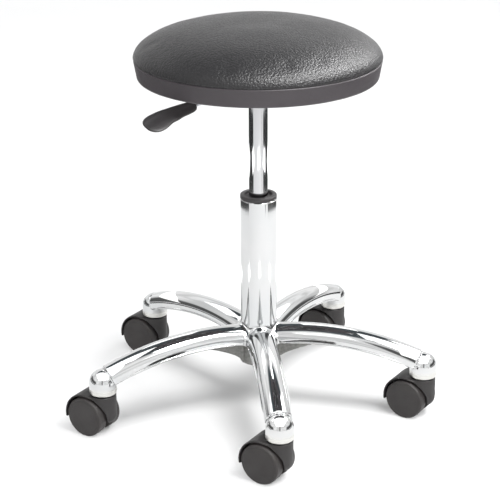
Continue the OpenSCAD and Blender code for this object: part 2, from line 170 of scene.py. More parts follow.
def net(field, low, high, cell, passes=4):
    """Points, quads and normals of the surface where a signed distance field is 0.

    Only blocks near the surface are sampled. The points are then drawn onto the surface itself,
    and evened out along it, so that reflections run smoothly over it."""
    low, high = np.array(low, float), np.array(high, float)
    block = 6
    blocks = np.ceil((high - low) / (cell * block)).astype(int)
    nodes = blocks * block + 1
    centres = [low[a] + (np.arange(blocks[a]) + 0.5) * cell * block for a in range(3)]
    cx, cy, cz = (g.ravel() for g in np.meshgrid(*centres, indexing="ij"))
    coarse = field(cx, cy, cz)
    reach = cell * block * 0.87 * 1.25 + 1.0
    near = np.nonzero(np.abs(coarse) < reach)[0]
    grid = np.where(coarse < 0, -99.0, 99.0).reshape(blocks)
    values = np.ones(nodes, np.float32) * 99
    values[:-1, :-1, :-1] = grid.repeat(block, 0).repeat(block, 1).repeat(block, 2)
    bi, bj, bk = np.unravel_index(near, blocks)
    step = np.arange(block + 1)
    oi, oj, ok = (g.ravel() for g in np.meshgrid(step, step, step, indexing="ij"))
    gi = (bi[:, None] * block + oi[None, :]).ravel()
    gj = (bj[:, None] * block + oj[None, :]).ravel()
    gk = (bk[:, None] * block + ok[None, :]).ravel()
    flat = np.unique((gi * nodes[1] + gj) * nodes[2] + gk)
    gi, gj, gk = np.unravel_index(flat, nodes)
    values.ravel()[flat] = field(low[0] + gi * cell, low[1] + gj * cell, low[2] + gk * cell)
    inside = values < 0
    corner = [(i, j, k) for i in (0, 1) for j in (0, 1) for k in (0, 1)]
    count = np.zeros(nodes - 1, np.int8)
    for i, j, k in corner:
        count += inside[i:nodes[0] - 1 + i, j:nodes[1] - 1 + j, k:nodes[2] - 1 + k]
    cells = np.nonzero((count > 0) & (count < 8))
    number = -np.ones(nodes - 1, int)
    number[cells] = np.arange(len(cells[0]))
    total, weight = np.zeros((len(cells[0]), 3)), np.zeros(len(cells[0]))
    for a in corner:
        for axis in range(3):
            if a[axis]:
                continue
            b = tuple(v + (n == axis) for n, v in enumerate(a))
            fa = values[cells[0] + a[0], cells[1] + a[1], cells[2] + a[2]]
            fb = values[cells[0] + b[0], cells[1] + b[1], cells[2] + b[2]]
            cross = (fa < 0) != (fb < 0)
            t = np.where(cross, fa / np.where(cross, fa - fb, 1), 0)
            for n in range(3):
                total[:, n] += np.where(cross, a[n] + (t if n == axis else 0), 0)
            weight += cross
    points = low + (np.stack(cells, 1) + total / weight[:, None]) * cell
    quads = []
    for axis in range(3):
        u, v = (axis + 1) % 3, (axis + 2) % 3
        first = [slice(None)] * 3
        second = [slice(None)] * 3
        first[axis], second[axis] = slice(0, -1), slice(1, None)
        change = inside[tuple(first)] != inside[tuple(second)]
        at = list(np.nonzero(change))
        keep = (at[u] > 0) & (at[v] > 0) & (at[u] < nodes[u] - 1) & (at[v] < nodes[v] - 1)
        at = [x[keep] for x in at]
        out = inside[tuple(at)]
        around = []
        for du, dv in ((-1, -1), (0, -1), (0, 0), (-1, 0)):
            cell_at = list(at)
            cell_at[u] = at[u] + du
            cell_at[v] = at[v] + dv
            around.append(number[tuple(cell_at)])
        around = np.stack(around, 1)
        quads.append(np.where(out[:, None], around, around[:, ::-1]))
    quads = np.concatenate(quads)
    edges = np.concatenate([quads[:, [0, 1]], quads[:, [1, 2]], quads[:, [2, 3]], quads[:, [3, 0]]])

    def slope(p, eps):
        g = [field(*(p + eps * e).T) - field(*(p - eps * e).T) for e in np.eye(3)]
        return np.stack(g, 1) / (2 * eps)

    for step_no in range(passes):
        if step_no:
            mean = np.zeros_like(points)
            many = np.zeros(len(points))
            for a, b in ((0, 1), (1, 0)):
                np.add.at(mean, edges[:, a], points[edges[:, b]])
                np.add.at(many, edges[:, a], 1)
            points = points * 0.5 + mean / many[:, None] * 0.5
        for _ in range(2):
            g = slope(points, 0.05)
            size = np.maximum((g * g).sum(1), 0.05)
            move = -field(*points.T)[:, None] * g / size[:, None]
            length = np.linalg.norm(move, axis=1, keepdims=True)
            points = points + move * np.minimum(1, 0.6 * cell / np.maximum(length, 1e-9))
    normals = slope(points, 0.12)
    normals /= np.linalg.norm(normals, axis=1, keepdims=True)
    return points, quads, normals


def joined(parts):
    """One set of points, faces and normals from several."""
    points, faces, normals, start = [], [], [], 0
    for p, f, n in parts:
        points.append(p)
        faces += [[int(v) + start for v in face] for face in f]
        normals.append(n)
        start += len(p)
    return np.concatenate(points), faces, np.concatenate(normals)


# ---------------------------------------------------------------- base

ARCH_R, ARCH_X = 436.0, 87.0
ARCH_Z = 137.0 - ARCH_R
ARM_DEPTH = 25.0
WALL = 6.5
TIP_HALF = 19.4
BORE_R, HUB_R, HUB_Z = 23.0, 28.5, 72.0
tip_rho = ARCH_R - TIP_HALF
TIP = (ARM_REACH, ARCH_Z + math.sqrt(tip_rho**2 - (ARM_REACH - ARCH_X) ** 2))
TIP_LEVEL = math.atan2(TIP[1] - ARCH_Z, TIP[0] - ARCH_X)
BALL_R, BALL_Z, BALL_BACK = 20.2, 82.8, 11.0
COLLAR_R, COLLAR_TOP = 20.2, 83.0
CORE_START, CORE_END = 46, 222  # the channel under an arm, along the arm
RIB_START, RIB_END, RIB_HALF, RIB_RUN = 18, 112, 4, 82
RIB_END_Z = ARCH_Z + 435.4 - ARM_DEPTH
HUB_TOP, COLUMN_FOOT = 118, 106
ARM_BLEND, COLUMN_BLEND = 9, 12


def arm_half(u):
    return TIP_HALF + 3.4 * np.exp(-np.maximum(u - 30, -30) / 55)


def arm_field(u, v, z):
    """Distance to one arm: u runs out along it, v across it."""
    du, dz = u - ARCH_X, z - ARCH_Z
    rho = hypot(du, dz)
    h = rho - ARCH_R
    half = arm_half(u)
    side = np.abs(v)
    section = hypot(side, np.maximum(h + half, 0)) - half
    beyond = (dz * math.cos(TIP_LEVEL) - du * math.sin(TIP_LEVEL)) * -1
    ball = hypot(u - TIP[0], v, z - BALL_Z) - BALL_R
    body = smax(section, -(h + ARM_DEPTH), 2.4)
    body = smax(body, beyond + BALL_BACK, 3.0)
    post = smax(hypot(u - TIP[0], v) - COLLAR_R, z - COLLAR_TOP, 3.0)
    post = smin(post, ball, 0.5)
    post = smax(post, COLLAR_Z - z, 2.6)
    core = hypot(side, np.maximum(h + half, 0)) - (half - WALL)
    core = smax(core, CORE_START - u, 5)
    core = smax(core, u - CORE_END, 5)
    body = smax(body, -core, 1.6)
    out = smin(body, post, 1.0)
    run = np.clip((u - HUB_R) / RIB_RUN, 0, 1.3)
    foot = HUB_Z + 1 + (RIB_END_Z - HUB_Z) * run**0.6
    rib = smax(side - RIB_HALF, (foot - z) * 0.8, 1.5)
    rib = smax(rib, h + 4, 1.5)
    rib = smax(smax(rib, u - RIB_END, 2), RIB_START - u, 2)
    out = smin(out, rib, 4)
    return smax(out, 6 - u, 3)


def base_field(x, y, z):
    r = hypot(x, y)
    step = 2 * math.pi / 5
    turn = np.arctan2(y, x) - ARM_TURN
    turn = turn - np.round(turn / step) * step
    u, v = r * np.cos(turn), r * np.sin(turn)
    arms = arm_field(u, v, z)
    close = r < 120
    if close.any():
        for way in (-1, 1):
            a = turn[close] + way * step
            other = arm_field(r[close] * np.cos(a), r[close] * np.sin(a), z[close])
            arms[close] = smin(arms[close], other, ARM_BLEND)
    hub = smax(r - HUB_R, HUB_Z - z, 2)
    hub = smax(hub, z - HUB_TOP, 3)
    column = smax(r - COLUMN_R, z - COLUMN_TOP, 1.2)
    column = smax(column, COLUMN_FOOT - z, 3)
    out = smin(arms, hub, 4)
    out = smin(out, column, COLUMN_BLEND)
    return smax(out, BORE_R - r, 0.8)


def bead(turn, side):
    """The raised bead along an arm's lower edge, as a swept tube that fades at both ends."""
    start, end, count = 40.0, 232.0, 90
    shape = [(0.9, -1.2), (1.5, -0.7), (1.6, 0.3), (1.4, 1.2), (0.8, 1.8), (-0.6, 2.1),
             (-1.6, 1.2), (-1.8, 0.0), (-1.4, -1.0), (-0.4, -1.4)]
    angles = np.linspace(math.acos((start - ARCH_X) / ARCH_R), math.acos((end - ARCH_X) / ARCH_R), count)
    points, faces = [], []
    for n, a in enumerate(angles):
        fade = min(1.0, 12 * min(n, count - 1 - n) / (count - 1)) ** 0.5 if 0 < n < count - 1 else 0.12
        u_mid = ARCH_X + (ARCH_R - ARM_DEPTH) * math.cos(a)
        half = float(arm_half(np.array(u_mid)))
        for across, up in shape:
            rho = ARCH_R - ARM_DEPTH + 1.7 + up * fade
            u = ARCH_X + rho * math.cos(a)
            v = side * (half - 1.1 * (1 - fade) - 0.1 + across * fade)
            z = ARCH_Z + rho * math.sin(a)
            points.append((u * math.cos(turn) - v * math.sin(turn),
                           u * math.sin(turn) + v * math.cos(turn), z))
    m = len(shape)
    for n in range(count - 1):
        for i in range(m):
            j = (i + 1) % m
            face = [n * m + i, n * m + j, (n + 1) * m + j, (n + 1) * m + i]
            faces.append(face if side > 0 else face[::-1])
    ends = [list(range(m)), list(range((count - 1) * m, count * m))]
    faces += [ends[0][::-1], ends[1]] if side > 0 else [ends[0], ends[1][::-1]]
    return np.array(points), faces


def vertex_normals(points, faces):
    normals = np.zeros_like(points)
    for face in faces:
        p = points[face]
        n = np.cross(p[1] - p[0], p[2] - p[0])
        for v in face:
            normals[v] += n
    return normals / np.maximum(np.linalg.norm(normals, axis=1, keepdims=True), 1e-9)


base_cell = 2.25
reach = ARM_REACH + 26
parts = [net(base_field, (-reach, -reach, COLLAR_Z - 6), (reach, reach, COLUMN_TOP + 6), base_cell)]
for k in range(5):
    for side in (-1, 1):
        p, f = bead(ARM_TURN + 2 * math.pi * k / 5, side)
        parts.append((p, f, vertex_normals(p, f)))
star_base = object_from("star_base", *joined(parts))

# ---------------------------------------------------------------- gas lift

BUSH_LENGTH = 70
ring_profile = rounded(
    [(TUBE_R + 0.1, COLUMN_TOP - BUSH_LENGTH), (BORE_R - 0.1, COLUMN_TOP - BUSH_LENGTH),
     (BORE_R - 0.1, COLUMN_TOP + 0.05), (COLUMN_R - 0.2, COLUMN_TOP + 0.05),
     (COLUMN_R + 0.1, COLUMN_TOP + 0.6), (COLUMN_R + 0.1, RING_TOP - 0.4),
     (20.6, RING_TOP), (20.2, RING_TOP - 4), (TUBE_R + 0.1, RING_TOP - 4)],
    [0, 0, 0, 0.2, 0.3, 1.6, 0.9, 0.4, 0], 5)
column_ring = object_from("column_ring", *lathe(ring_profile, 144), sharp=35)

TUBE_BORE, PIN_BORE, TUBE_CAP = 9.0, 3.2, 8
tube_profile = rounded(
    [(TUBE_BORE, tube_low[2]), (TUBE_R, tube_low[2]), (TUBE_R, tube_high[2]), (PIN_BORE, tube_high[2]),
     (PIN_BORE, tube_high[2] - TUBE_CAP), (TUBE_BORE, tube_high[2] - TUBE_CAP)],
    [0, 1.2, 0.8, 0, 0, 0], 5)
chrome_tube = object_from("chrome_tube", *lathe(tube_profile, 144), sharp=35)

# ---------------------------------------------------------------- casters

HOOD_HALF, HOOD_R, WELL_R = 23.0, WHEEL_R + 5.5, WHEEL_R + 3.0
POST_R, POST_TOP, POST_FOOT, POST_BEND = 19.0, 65.0, 20.0, 12.0
HOOD_BACK = 23.0
WEB_R, WEB_HALF = 16, 5.5


def hood_field(x, y, z):
    """Distance to a hood: the post stands on the origin and the axle lies out along +X."""
    r = hypot(x, y)
    inner = r - (POST_R - POST_BEND)
    rise = (POST_FOOT + POST_BEND) - z
    foot = hypot(np.maximum(inner, 0), np.maximum(rise, 0)) - POST_BEND
    post = np.where(rise > 0, foot, r - POST_R)
    post = smax(post, z - POST_TOP, 1.6)
    around = hypot(x - TRAIL, z - WHEEL_R)
    side = np.abs(y)
    width = POST_R - 0.3 + (HOOD_HALF - POST_R + 0.3) * np.clip(x / 14, 0, 1)
    fender = smax(around - HOOD_R, side - width, 2.6)
    fender = smax(fender, HOOD_BACK - z, 2.0)
    fender = smax(fender, -x - 1, 1.5)
    out = smin(post, fender, 5.0)
    out = smax(out, z - POST_TOP, 1.2)
    well = smax(around - WELL_R, WEB_HALF - side, 1.0)
    out = smax(out, -well, 1.1)
    web = smax(around - WEB_R, side - WEB_HALF, 1.0)
    return smin(out, web, 1.5)


hood_cell = 1.0
hood_mesh = net(hood_field, (-24, -28, 6), (62, 28, 72), hood_cell)
TWIN_HALF, WHEEL_IN = 25.0, 6.2


def wheel_profile():
    r, out = WHEEL_R, TWIN_HALF
    outline = [(0, out - 3.6), (3.1, out - 3.6), (3.1, WHEEL_IN), (9, WHEEL_IN), (9, out - 5),
               (r - 6, out - 5), (r - 6, WHEEL_IN + 1), (r - 1.5, WHEEL_IN + 1), (r - 0.05, WHEEL_IN + 2.6),
               (r - 0.05, out - 2.2), (r - 1.9, out - 0.45), (r - 3.4, out - 0.5), (r - 4.0, out - 0.75),
               (r - 5.0, out - 0.3), (r * 0.5, out - 0.1), (0, out)]
    return rounded(outline, [0, 0, 0.3, 0.5, 0.5, 0.5, 0.5, 0.6, 0.8, 1.2, 0.9, 0.3, 0.3, 0.6, 3, 0], 4)


def turned(points, axis_out, centre):
    """Turns a lathe's points so that its +Z lies along a level direction from a centre."""
    d = np.array([math.cos(axis_out), math.sin(axis_out), 0.0])
    side = np.array([-d[1], d[0], 0.0])
    up = np.array([0.0, 0.0, 1.0])
    return centre + points[:, :1] * side + points[:, 1:2] * up + points[:, 2:] * d


wheel_points, wheel_faces = lathe(wheel_profile()[::-1], 112, closed=False)
hoods, wheels = [], []
for k in CASTERS:
    stem, axle = STEMS[k - 1], AXLES[k - 1]
    p, f, n = hood_mesh
    c, s = math.cos(TRAIL_TURN), math.sin(TRAIL_TURN)
    spin = np.array([[c, -s, 0], [s, c, 0], [0, 0, 1]])
    place = np.array([stem[0], stem[1], 0])
    hood = object_from(f"caster_hood_{k}", p @ spin.T + place, f, n @ spin.T)
    hoods.append(hood)
    for side, word in ((1, "left"), (-1, "right")):
        low, high = box_mm(f"caster_{k}_wheel_{word}")
        toward = (low + high) / 2 - axle
        out = math.atan2(toward[1], toward[0])
        mesh = turned(wheel_points, out, axle)
        wheels.append(object_from(f"caster_wheel_{k}_{word}", mesh, wheel_faces, sharp=40))

# ---------------------------------------------------------------- seat

PAN_HOLE, PAN_WALL = 16.2, 3
pan_profile = rounded(
    [(PAN_HOLE, UNDERSIDE_Z), (SHELL_R - 4.4, UNDERSIDE_Z), (SHELL_R, SEAM_Z - 1.6),
     (SHELL_R - 1.6, SEAM_Z - 0.4), (SHELL_R - 3.4, SEAM_Z - 0.8),
     (SHELL_R - 7.2, UNDERSIDE_Z + PAN_WALL), (PAN_HOLE, UNDERSIDE_Z + PAN_WALL)],
    [0.6, 4.2, 1.6, 0.6, 0.6, 1, 0.6], 8)
seat_pan = object_from("seat_pan", *lathe(pan_profile, 216), sharp=35)


CROWN_POWER = 2.6


def crown_height(share):
    return (1 - np.clip(share, 0, 1) ** CROWN_POWER) ** 0.5


def cushion_profile(radius, top, foot):
    shares = np.sin(np.linspace(0, math.pi / 2, 34)) * 0.995
    outline = [(radius * s, SEAM_Z + (top - SEAM_Z) * float(crown_height(s))) for s in shares]
    return outline + [(radius, SEAM_Z + 3.0), (radius - 0.6, SEAM_Z + 1.2), (radius - 3.0, SEAM_Z + 0.2),
                      (radius - 5.5, SEAM_Z - 0.2), (radius - 9.0, foot), (0, foot)]


def remesh(obj, size):
    modifier = obj.modifiers.new("Remesh", "REMESH")
    modifier.mode = "VOXEL"
    modifier.voxel_size = size
    apply_modifiers(obj)


def apply_modifiers(obj):
    graph = bpy.context.evaluated_depsgraph_get()
    graph.update()
    mesh = bpy.data.meshes.new_from_object(obj.evaluated_get(graph))
    obj.modifiers.clear()
    old, obj.data = obj.data, mesh
    bpy.data.meshes.remove(old)


def coordinates(obj):
    flat = np.zeros(len(obj.data.vertices) * 3)
    obj.data.vertices.foreach_get("co", flat)
    return flat.reshape(-1, 3)


def set_coordinates(obj, points):
    obj.data.vertices.foreach_set("co", np.asarray(points, float).ravel())
    obj.data.update()


CLOTH_FRAMES = 20


def inflate(obj, held, cap):
    """Blows the cloth up from inside while its held points stay, with a cap on each point's move."""
    start = coordinates(obj)
    group = obj.vertex_groups.new(name="held")
    group.add([int(i) for i in np.nonzero(held)[0]], 1.0, "REPLACE")
    cloth = obj.modifiers.new("Cloth", "CLOTH")
    cloth.settings.quality = 6
    cloth.settings.mass = 0.4
    cloth.settings.use_pressure = True
    cloth.settings.uniform_pressure_force = 4.0
    cloth.settings.tension_stiffness = 18
    cloth.settings.compression_stiffness = 18
    cloth.settings.shear_stiffness = 8
    cloth.settings.bending_stiffness = 1.5
    cloth.settings.vertex_group_mass = "held"
    cloth.settings.effector_weights.gravity = 0
    cloth.point_cache.frame_start = 1
    cloth.point_cache.frame_end = CLOTH_FRAMES
    for number in range(1, CLOTH_FRAMES + 1):
        scene.frame_set(number)
    apply_modifiers(obj)
    scene.frame_set(1)
    moved = coordinates(obj) - start
    length = np.linalg.norm(moved, axis=1, keepdims=True)
    set_coordinates(obj, start + moved * np.minimum(1, cap / np.maximum(length, 1e-9)))


foam_foot = float(cover_low[2])
start_profile = cushion_profile(SEAT_R - 2.0, CROWN_Z - 3.5, foam_foot)[::-1]
cushion = object_from("vinyl_cushion", *lathe(start_profile, 144, closed=False))
remesh(cushion, 5 * MM)
inflate(cushion, coordinates(cushion)[:, 2] < (SEAM_Z + 1.0) * MM, 6 * MM)
smooth = cushion.modifiers.new("Subdivision", "SUBSURF")
smooth.levels = smooth.render_levels = 1
apply_modifiers(cushion)

# The cushion is brought to the crown that the frame gives it, and puckers a little above its seam
co = coordinates(cushion) / MM
radius = hypot(co[:, 0], co[:, 1])
angle = np.arctan2(co[:, 1], co[:, 0])
above = co[:, 2] > SEAM_Z + 2
grow = (SEAT_R - 0.1) / radius[above].max()
co[:, :2] *= np.where(above | (radius > 0.9 * SEAT_R), grow, 1)[:, None]
radius = hypot(co[:, 0], co[:, 1])
rise = np.clip((co[:, 2] - SEAM_Z) / (CROWN_Z - SEAM_Z), 0, 0.999)
even = SEAT_R * (1 - rise**2) ** (1 / CROWN_POWER)
pull = 0.9 * np.clip((SEAM_Z + 24 - co[:, 2]) / 10, 0, 1) * above
co[:, :2] *= (1 + pull * (even / np.maximum(radius, 1) - 1))[:, None]
radius = hypot(co[:, 0], co[:, 1])
share = np.clip(radius / SEAT_R, 0, 1)
target = SEAM_Z + (CROWN_Z - SEAM_Z) * crown_height(share)
top = above & (co[:, 2] > SEAM_Z + 6)
co[top, 2] = 0.35 * co[top, 2] + 0.65 * target[top]
pucker = np.exp(-np.maximum(co[:, 2] - SEAM_Z, 0) / 7.0)
ripple = sum(np.sin(n * angle + 1.7 * n) for n in (61, 83, 104, 137)) / 4
slow = np.sin(3 * angle + 1.0) * np.cos(radius / 40) + 0.6 * np.sin(5 * angle + co[:, 0] / 60)
co[:, 2] += np.where(above, 0.25 * slow * (1 - share**4), 0)
push = 0.08 * pucker * ripple * above
co[:, 0] += push * np.cos(angle)
co[:, 1] += push * np.sin(angle)
co[:, 2] = np.minimum(co[:, 2], CROWN_Z)
set_coordinates(cushion, co * MM)
cushion.data.polygons.foreach_set("use_smooth", [True] * len(cushion.data.polygons))

# ---------------------------------------------------------------- lever

# Along the lever, height, half width to the left and to the right, half thickness, roll
PADDLE = [
    (126, 497.4, 6.5, 7.5, 4.6, -6), (128, 497.3, 8.0, 11.0, 4.5, -8),
    (132, 496.8, 9.6, 13.6, 4.4, -10), (139, 495.9, 11.0, 14.4, 4.2, -12),
    (147, 494.8, 12.2, 14.2, 4.0, -14), (154, 493.8, 13.0, 13.4, 3.8, -16),
    (160, 493.0, 13.6, 14.6, 3.7, -17), (168, 491.8, 14.4, 15.2, 3.5, -19),
    (174, 491.0, 15.0, 14.6, 3.4, -20), (181, 489.6, 15.6, 16.8, 3.3, -21),
    (189, 488.0, 16.0, 18.6, 3.2, -22), (197, 486.4, 16.0, 19.0, 3.1, -22),
    (203, 485.2, 15.0, 17.6, 3.0, -22), (208, 484.2, 12.6, 13.6, 2.8, -22),
    (211, 483.6, 8.6, 9.0, 2.2, -22), (212.0, 483.4, 4.4, 4.6, 1.2, -22)]


def paddle_mesh():
    ring = 28
    points, faces = [], []
    for along, height, left, right, thick, roll in PADDLE:
        a = math.radians(roll)
        for i in range(ring):
            t = 2 * math.pi * i / ring
            y, z = math.cos(t), math.sin(t)
            wide = (right if y > 0 else left) * np.sign(y) * abs(y) ** 0.75
            deep = thick * np.sign(z) * abs(z) ** 0.8
            if z > 0:  # a hollow for the fingers' pull, with a crease along its middle
                deep -= 1.5 * min(1, (along - 117) / 30) * math.exp(-((y + 0.1) ** 2) / 0.05) * thick / 4
            y2 = wide * math.cos(a) - deep * math.sin(a)
            z2 = wide * math.sin(a) + deep * math.cos(a)
            c, s = math.cos(LEVER_TURN), math.sin(LEVER_TURN)
            points.append((along * c - y2 * s, along * s + y2 * c, height + z2))
    n = len(PADDLE)
    for m in range(n - 1):
        for i in range(ring):
            j = (i + 1) % ring
            faces.append([m * ring + i, m * ring + j, (m + 1) * ring + j, (m + 1) * ring + i])
    faces += [list(range(ring))[::-1], list(range((n - 1) * ring, n * ring))]
    return np.array(points), faces


lever_blade = object_from("lever_blade", *paddle_mesh())
rounding = lever_blade.modifiers.new("Subdivision", "SUBSURF")
rounding.levels = rounding.render_levels = 2
apply_modifiers(lever_blade)

# ---------------------------------------------------------------- materials


class Shader:
    """A Principled material and a few shorthands for the nodes that drive it."""

    def __init__(self, name):
        self.material = bpy.data.materials.new(name)
        self.material.use_nodes = True
        self.tree = self.material.node_tree
        self.bsdf = self.tree.nodes["Principled BSDF"]
        self.place = self.tree.nodes.new("ShaderNodeTexCoord").outputs["Object"]

    def node(self, kind, **inputs):
        node = self.tree.nodes.new(kind)
        for key, value in inputs.items():
            self.put(node.inputs[key.replace("_", " ")], value)
        return node

    def put(self, socket, value):
        if isinstance(value, bpy.types.NodeSocket):
            self.tree.links.new(value, socket)
        else:
            socket.default_value = value

    def noise(self, scale, detail=3.0, rough=0.5, vector=None):
        return self.node("ShaderNodeTexNoise", Vector=vector or self.place, Scale=scale, Detail=detail,
                         Roughness=rough).outputs["Fac"]

    def cells(self, scale, vector=None):
        return self.node("ShaderNodeTexVoronoi", Vector=vector or self.place, Scale=scale).outputs["Distance"]

    def stretch(self, x, y, z):
        node = self.node("ShaderNodeVectorMath")
        node.operation = "MULTIPLY"
        self.put(node.inputs[0], self.place)
        node.inputs[1].default_value = (x, y, z)
        return node.outputs[0]

    def map(self, value, low, high, from_low=0.0, from_high=1.0):
        node = self.node("ShaderNodeMapRange", Value=value)
        node.inputs["From Min"].default_value = from_low
        node.inputs["From Max"].default_value = from_high
        self.put(node.inputs["To Min"], low)
        self.put(node.inputs["To Max"], high)
        return node.outputs["Result"]

    def mix(self, fac, a, b):
        node = self.tree.nodes.new("ShaderNodeMix")
        node.data_type = "RGBA"
        self.put(node.inputs[0], fac)
        self.put(node.inputs[6], a)
        self.put(node.inputs[7], b)
        return node.outputs[2]

    def math(self, how, a, b):
        node = self.tree.nodes.new("ShaderNodeMath")
        node.operation = how
        self.put(node.inputs[0], a)
        self.put(node.inputs[1], b)
        return node.outputs[0]

    def bump(self, height, depth, strength):
        return self.node("ShaderNodeBump", Height=height, Distance=depth, Strength=strength).outputs["Normal"]

    def set(self, **inputs):
        for key, value in inputs.items():
            self.put(self.bsdf.inputs[key.replace("_", " ")], value)
        return self.material


def rgb(r, g, b):
    return (r, g, b, 1.0)


def polished():
    """Polished casting on top; a sand-cast skin below and inside; satin collars at the arms' ends."""
    s = Shader("polished_aluminium")
    parts = s.node("ShaderNodeSeparateXYZ", Vector=s.place)
    facing = s.node("ShaderNodeNewGeometry").outputs["Normal"]
    up = s.node("ShaderNodeSeparateXYZ", Vector=facing).outputs["Z"]
    from_axis = s.node("ShaderNodeVectorMath")
    from_axis.operation = "LENGTH"
    flat = s.stretch(1, 1, 0)
    s.put(from_axis.inputs[0], flat)
    out = from_axis.outputs["Value"]
    low = s.map(parts.outputs["Z"], 1.0, 0.0, 0.0735, 0.0785)
    under = s.map(up, 1.0, 0.0, -0.75, -0.35)
    near = s.math("MULTIPLY", s.map(out, 1.0, 0.0, 0.113, 0.116),
                  s.map(parts.outputs["Z"], 1.0, 0.0, 0.107, 0.109))
    cast = s.math("MAXIMUM", under, near)
    collar = s.math("MULTIPLY", low, s.map(out, 0.0, 1.0, 0.2, 0.21))
    haze = s.noise(14, 4, 0.6)
    scratch = s.noise(60, 2, 0.5, s.stretch(1, 1, 9))
    shine = s.math("ADD", s.map(haze, 0.035, 0.085, 0.35, 0.7), s.map(scratch, 0.0, 0.02, 0.4, 0.7))
    rough = s.math("MAXIMUM", s.math("MAXIMUM", shine, s.math("MULTIPLY", collar, 0.34)),
                   s.math("MULTIPLY", cast, 0.55))
    tint = s.mix(s.map(s.noise(9, 3, 0.6), 0.0, 1.0, 0.35, 0.65),
                 rgb(0.645, 0.655, 0.66), rgb(0.69, 0.69, 0.69))
    grain = s.mix(s.map(s.noise(260, 4, 0.6), 0.0, 1.0, 0.3, 0.7),
                  rgb(0.20, 0.20, 0.192), rgb(0.33, 0.33, 0.315))
    colour = s.mix(cast, tint, grain)
    colour = s.mix(collar, colour, rgb(0.70, 0.695, 0.665))
    depth = s.math("ADD", s.math("MULTIPLY", cast, 0.9), s.math("MULTIPLY", collar, 0.15))
    height = s.math("MULTIPLY", s.noise(700, 4, 0.6), depth)
    return s.set(Base_Color=colour, Metallic=1.0, Roughness=rough, Normal=s.bump(height, 0.0004, 0.8))


def chrome():
    s = Shader("chrome_plate")
    wipe = s.noise(40, 3, 0.55, s.stretch(1, 1, 0.06))
    haze = s.noise(25, 3, 0.5)
    rough = s.math("ADD", s.map(wipe, 0.07, 0.11, 0.35, 0.7), s.map(haze, 0.0, 0.02, 0.4, 0.7))
    colour = s.mix(haze, rgb(0.59, 0.59, 0.60), rgb(0.63, 0.63, 0.64))
    return s.set(Base_Color=colour, Metallic=1.0, Roughness=rough,
                 Normal=s.bump(s.noise(900, 2, 0.5, s.stretch(1, 1, 0.05)), 0.00001, 0.15))


def moulded(name, dark, light, rough_low, rough_high, grain=1500, depth=0.00012, sheen=0.5, upper_unshaded=None):
    """Moulded plastic: a fine spark-eroded texture, faint flow marks and worn-smooth patches."""
    s = Shader(name)
    flow = s.noise(18, 4, 0.6)
    wear = s.noise(45, 3, 0.6)
    texture = s.noise(grain, 3, 0.6)
    colour = s.mix(s.map(flow, 0.0, 1.0, 0.3, 0.7), rgb(*dark), rgb(*light))
    # Pieces below 0.2 m keep the darker colours and pieces above 0.3 m take the upper colour; for the grey
    # plastic the darker grey of the low caster hoods is partly their own tone and partly painted shade
    if upper_unshaded:
        height = s.node("ShaderNodeSeparateXYZ", Vector=s.place).outputs["Z"]
        colour = s.mix(s.map(height, 0.0, 1.0, 0.2, 0.3), colour, rgb(*upper_unshaded))
    return s.set(Base_Color=colour,
                 Roughness=s.map(wear, rough_low, rough_high, 0.3, 0.7), Specular_IOR_Level=sheen,
                 Normal=s.bump(texture, depth, 0.7))


def vinyl():
    """Semi-gloss upholstery vinyl with a pebble grain and slow variation in shine."""
    s = Shader("pebble_vinyl")
    wobble = s.node("ShaderNodeTexNoise", Vector=s.place, Scale=260, Detail=2).outputs["Color"]
    shift = s.node("ShaderNodeVectorMath")
    shift.operation = "MULTIPLY_ADD"
    s.put(shift.inputs[0], wobble)
    shift.inputs[1].default_value = (0.0012, 0.0012, 0.0012)
    s.put(shift.inputs[2], s.place)
    pebbles = s.cells(330, shift.outputs[0])
    fine = s.cells(900, shift.outputs[0])
    height = s.math("ADD", s.math("MULTIPLY", pebbles, -1.0), s.math("MULTIPLY", fine, -0.35))
    height = s.math("ADD", height, s.math("MULTIPLY", s.noise(2200, 2, 0.5), 0.2))
    # The tone is painted darker in the creases between the pebbles, as shade in the grain; the creases are
    # also rougher
    crease = s.map(pebbles, 0.0, 1.0, 0.25, 0.75)
    tone = s.mix(crease, rgb(0.017, 0.0162, 0.0175), rgb(0.0105, 0.010, 0.011))
    tone = s.mix(s.map(s.noise(6, 3, 0.5), 0.0, 0.4, 0.3, 0.7), tone, rgb(0.022, 0.021, 0.0225))
    rough = s.math("ADD", s.map(s.noise(11, 4, 0.6), 0.31, 0.41, 0.3, 0.7),
                   s.math("MULTIPLY", crease, 0.08))
    return s.set(Base_Color=tone, Roughness=rough, Specular_IOR_Level=0.49,
                 Normal=s.bump(height, 0.0008, 0.8))


def zinc(name, dark, light):
    s = Shader(name)
    brush = s.noise(300, 3, 0.6, s.stretch(1, 1, 0.15))
    return s.set(Base_Color=s.mix(brush, rgb(*dark), rgb(*light)), Metallic=1.0,
                 Roughness=s.map(s.noise(80, 3, 0.6), 0.28, 0.46, 0.3, 0.7),
                 Normal=s.bump(brush, 0.00005, 0.4))


def rubber():
    s = Shader("soft_rubber")
    return s.set(Base_Color=s.mix(s.noise(70, 3, 0.6), rgb(0.012, 0.012, 0.012), rgb(0.028, 0.028, 0.028)),
                 Roughness=s.map(s.noise(120, 3, 0.6), 0.7, 0.9),
                 Normal=s.bump(s.noise(1400, 3, 0.6), 0.0001, 0.5))


def plywood():
    s = Shader("birch_plywood")
    plies = s.node("ShaderNodeTexWave", Vector=s.place, Scale=140, Distortion=0.6, Detail=2)
    plies.wave_type = "BANDS"
    plies.bands_direction = "Z"
    grain = s.noise(40, 4, 0.6, s.stretch(0.2, 3, 1))
    colour = s.mix(plies.outputs["Fac"], rgb(0.56, 0.40, 0.23), rgb(0.36, 0.23, 0.12))
    return s.set(Base_Color=s.mix(grain, colour, rgb(0.62, 0.46, 0.28)), Roughness=0.62,
                 Normal=s.bump(grain, 0.0001, 0.4))


